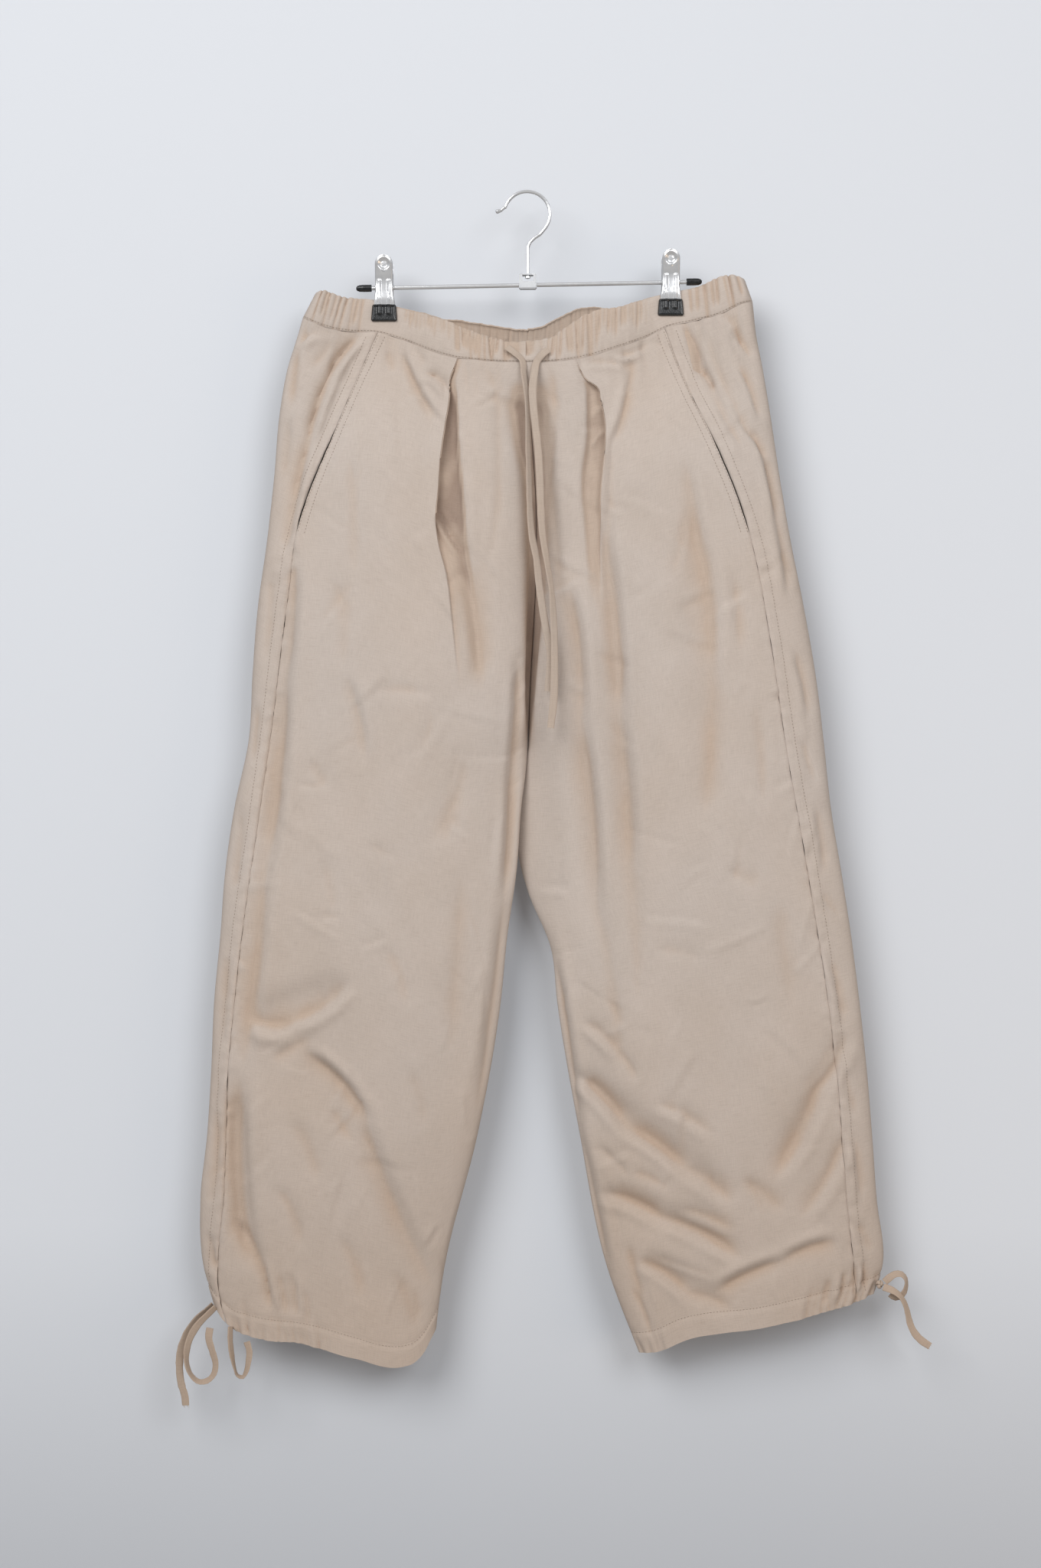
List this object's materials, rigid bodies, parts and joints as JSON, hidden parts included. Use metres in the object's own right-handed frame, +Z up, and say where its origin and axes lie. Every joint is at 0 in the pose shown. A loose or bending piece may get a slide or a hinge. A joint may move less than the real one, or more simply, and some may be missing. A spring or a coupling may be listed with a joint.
{
  "type": "drawstring trousers on a clip hanger",
  "caption": "Wide cropped trousers with a gathered elastic waist, a drawstring and tied hems, hung from a metal clip hanger by its hook.",
  "frame": {"origin": "the inside top of the hook, where a nail, hook or rail carries the hanger", "axes": "+X to the wearer's left, +Y towards the wall behind, +Z up"},
  "size_m": [0.6854, 0.0681, 1.1096],
  "materials": {
    "cotton_linen": "plain slub weave, matt, warm beige",
    "tape": "folded self-fabric tape, matt, warm beige",
    "chrome_metal": "polished chrome plate",
    "black_coating": "smooth black dipped coating"
  },
  "bodies": {
    "root": {"front_right": "cotton_linen", "front_left": "cotton_linen", "back_right": "cotton_linen", "back_left": "cotton_linen", "waistband_front": "cotton_linen", "waistband_back": "cotton_linen", "drawstring_right": "tape", "drawstring_left": "tape", "hem_tie_right_tail": "tape", "hem_tie_right_loop": "tape", "hem_tie_right_short_loop": "tape", "hem_tie_left_loop": "tape", "hem_tie_left_tail": "tape", "hem_tie_left_knot": "tape", "hook": "chrome_metal", "hook_bracket": "chrome_metal", "bar": "chrome_metal", "clip_right_front": "chrome_metal", "clip_right_back": "chrome_metal", "clip_right_spring": "chrome_metal", "clip_left_front": "chrome_metal", "clip_left_back": "chrome_metal", "clip_left_spring": "chrome_metal", "bar_tip_right": "black_coating", "bar_tip_left": "black_coating", "clip_right_jaw_front": "black_coating", "clip_right_jaw_back": "black_coating", "clip_left_jaw_front": "black_coating", "clip_left_jaw_back": "black_coating"}
  },
  "joints": []
}
